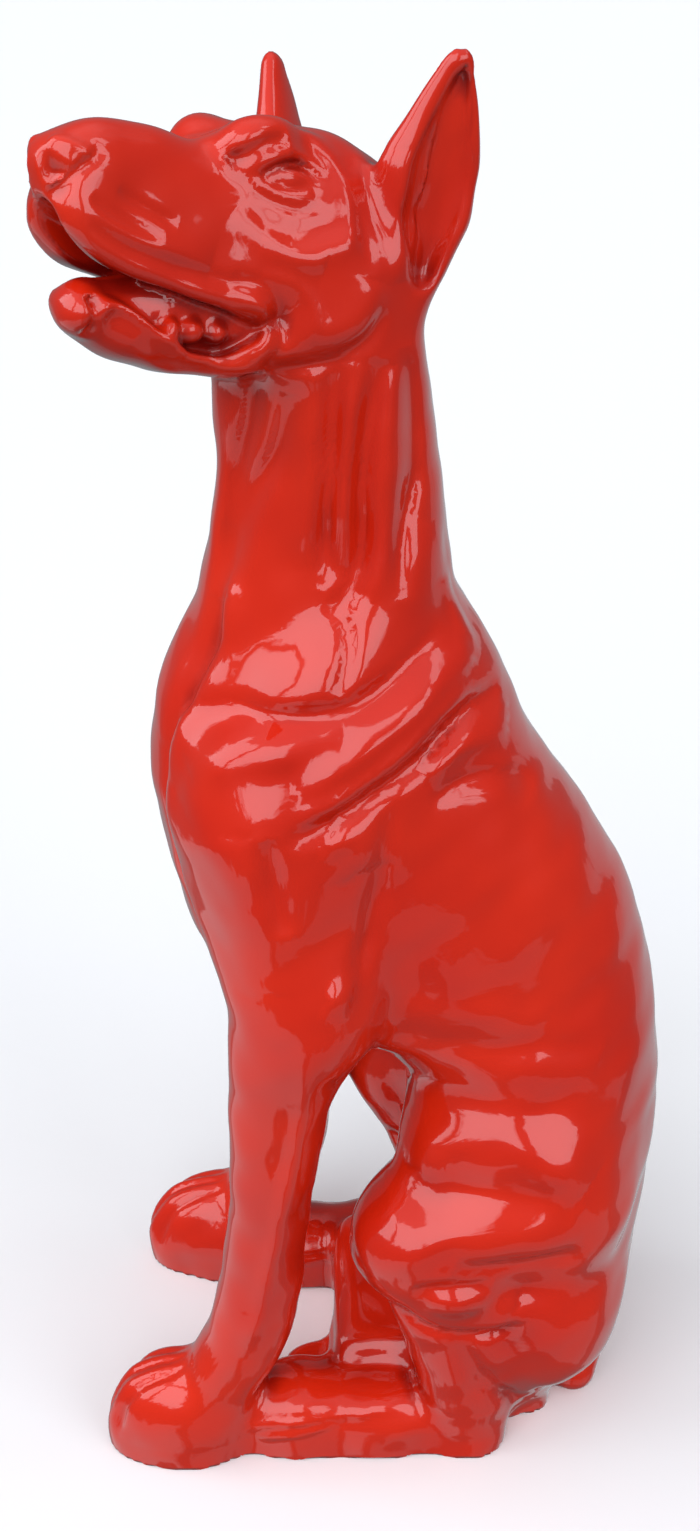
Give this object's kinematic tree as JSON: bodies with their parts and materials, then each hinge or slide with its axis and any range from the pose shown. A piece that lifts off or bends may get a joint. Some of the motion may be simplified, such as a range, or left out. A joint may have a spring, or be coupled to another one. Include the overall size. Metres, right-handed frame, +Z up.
{
  "type": "seated guard dog statue",
  "caption": "Tall seated short-haired guard dog with pricked ears and turned head, a glossy red cast figure that stands on its own base.",
  "frame": {"origin": "centre of the outline, at the level of the soles", "axes": "+Z up along the height, the dog faces -Y, its left side is +X"},
  "size_m": [0.241, 0.3323, 0.801],
  "materials": {
    "red_glaze": "mirror gloss red glaze, poured thick so that it is paler on crests and darker in hollows"
  },
  "bodies": {
    "root": {"dog_figure": "red_glaze"}
  },
  "joints": []
}
